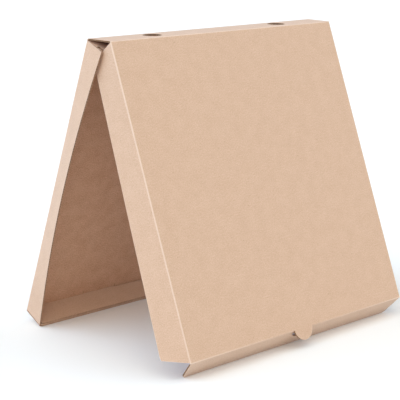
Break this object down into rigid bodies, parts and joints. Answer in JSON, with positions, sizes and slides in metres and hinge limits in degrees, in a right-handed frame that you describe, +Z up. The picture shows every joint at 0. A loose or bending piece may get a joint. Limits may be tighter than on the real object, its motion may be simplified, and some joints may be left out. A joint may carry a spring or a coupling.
{
  "type": "pizza box",
  "caption": "Folded corrugated pizza box standing open as a tent: shallow tray with rolled front wall, vented spine, lid with side flaps, tuck flap and thumb tab.",
  "frame": {"origin": "on the ground at the middle of the object's bounding box", "axes": "+X along the hinge creases, +Y towards the tray's leg of the tent, +Z up"},
  "size_m": [0.3504, 0.2752, 0.3281],
  "materials": {
    "kraft_board": "uncoated brown kraft liner on fine corrugated board"
  },
  "bodies": {
    "tray": {"tray": "kraft_board"},
    "spine": {"spine": "kraft_board"},
    "lid": {"lid": "kraft_board"},
    "lid_left_flap": {"lid_left_flap": "kraft_board"},
    "lid_right_flap": {"lid_right_flap": "kraft_board"},
    "lid_front_flap": {"lid_front_flap": "kraft_board"}
  },
  "joints": [
    {"name": "spine_fold", "type": "hinge", "parent": "tray", "child": "spine", "pos_m": [0, 0.01737, 0.32734], "axis": [-1, 0, 0], "range_deg": [-20.37, 69.63]},
    {"name": "lid_fold", "type": "hinge", "parent": "spine", "child": "lid", "pos_m": [0, -0.01602, 0.32702], "axis": [-1, 0, 0], "range_deg": [-21.38, 68.62]},
    {"name": "front_flap_fold", "type": "hinge", "parent": "lid", "child": "lid_front_flap", "pos_m": [0, -0.13236, 0.02142], "axis": [-1, 0, 0], "range_deg": [-27.5, 62.5]},
    {"name": "left_flap_fold", "type": "hinge", "parent": "lid", "child": "lid_left_flap", "pos_m": [-0.16205, -0.01602, 0.32702], "axis": [0, 0.3558, 0.9346], "range_deg": [-45, 0]},
    {"name": "right_flap_fold", "type": "hinge", "parent": "lid", "child": "lid_right_flap", "pos_m": [0.16205, -0.01602, 0.32702], "axis": [0, -0.3558, -0.9346], "range_deg": [-45, 0]}
  ]
}
